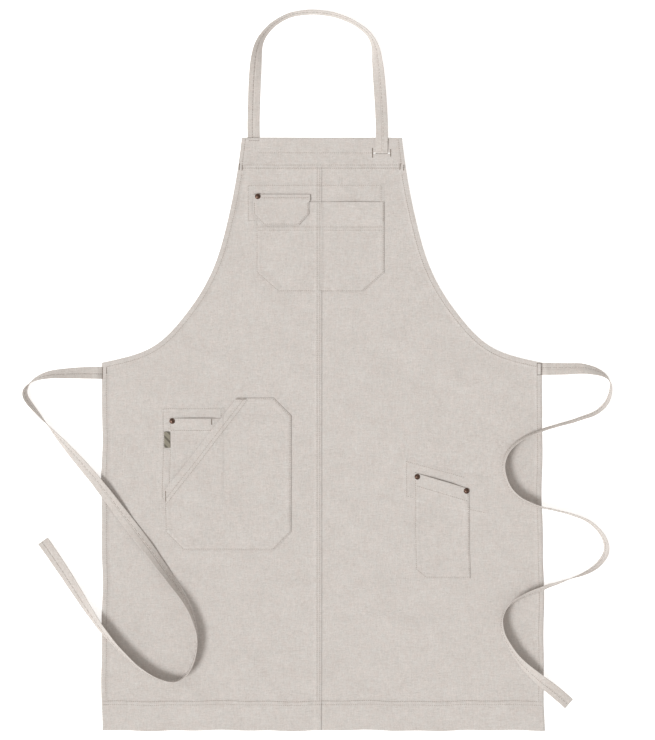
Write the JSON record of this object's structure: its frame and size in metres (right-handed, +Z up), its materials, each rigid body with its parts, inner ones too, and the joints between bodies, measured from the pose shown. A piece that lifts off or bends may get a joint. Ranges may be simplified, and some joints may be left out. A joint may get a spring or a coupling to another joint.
{
  "type": "bib apron",
  "caption": "Linen bib apron laid flat, with neck strap, waist ties, patch pockets, a lifting pocket flap and riveted corners.",
  "frame": {"origin": "on the floor, under the middle of the apron body", "axes": "+X to the right of a person looking at the apron's front, +Y from hem to bib, +Z up out of the front of the cloth"},
  "size_m": [0.9228, 1.1212, 0.0136],
  "materials": {
    "linen": "washed plain-weave linen",
    "facing": "plain-weave linen, inner side",
    "tape": "folded and pressed linen tape",
    "thread": "matt sewing thread",
    "rivet": "antiqued copper",
    "label": "woven label tape"
  },
  "bodies": {
    "apron": {"band_seam_thread": "thread", "bib_band": "linen", "bib_band_thread": "thread", "bib_facing": "facing", "bottom_hem_thread": "thread", "centre_seam_thread": "thread", "chest_backing_thread": "thread", "chest_pocket": "linen", "chest_pocket_backing": "facing", "chest_pocket_thread": "thread", "edge_thread": "thread", "flap_seam": "linen", "flap_seam_thread": "thread", "hem_bar_tacks": "thread", "hip_backing_thread": "thread", "hip_pocket": "linen", "hip_pocket_backing": "facing", "hip_pocket_thread": "thread", "inner_pocket": "linen", "inner_pocket_thread": "thread", "label": "label", "left_armhole_facing": "facing", "left_panel": "linen", "left_tie": "tape", "neck_strap": "tape", "right_armhole_facing": "facing", "right_panel": "linen", "right_tie": "tape", "rivet_backs": "rivet", "rivet_caps": "rivet", "rivet_posts": "rivet", "slot_bar_tacks": "thread", "strap_anchor_thread": "thread", "strap_tail": "tape", "tie_anchor_thread": "thread", "tool_backing_thread": "thread", "tool_pocket": "linen", "tool_pocket_backing": "facing", "tool_pocket_thread": "thread"},
    "flap": {"pocket_flap": "linen", "flap_thread": "thread"}
  },
  "joints": [
    {"name": "flap_hinge", "type": "hinge", "parent": "apron", "child": "flap", "pos_m": [-0.06275, 0.3612, 0.0065], "axis": [-1, 0, 0], "range_deg": [0, 140]}
  ]
}
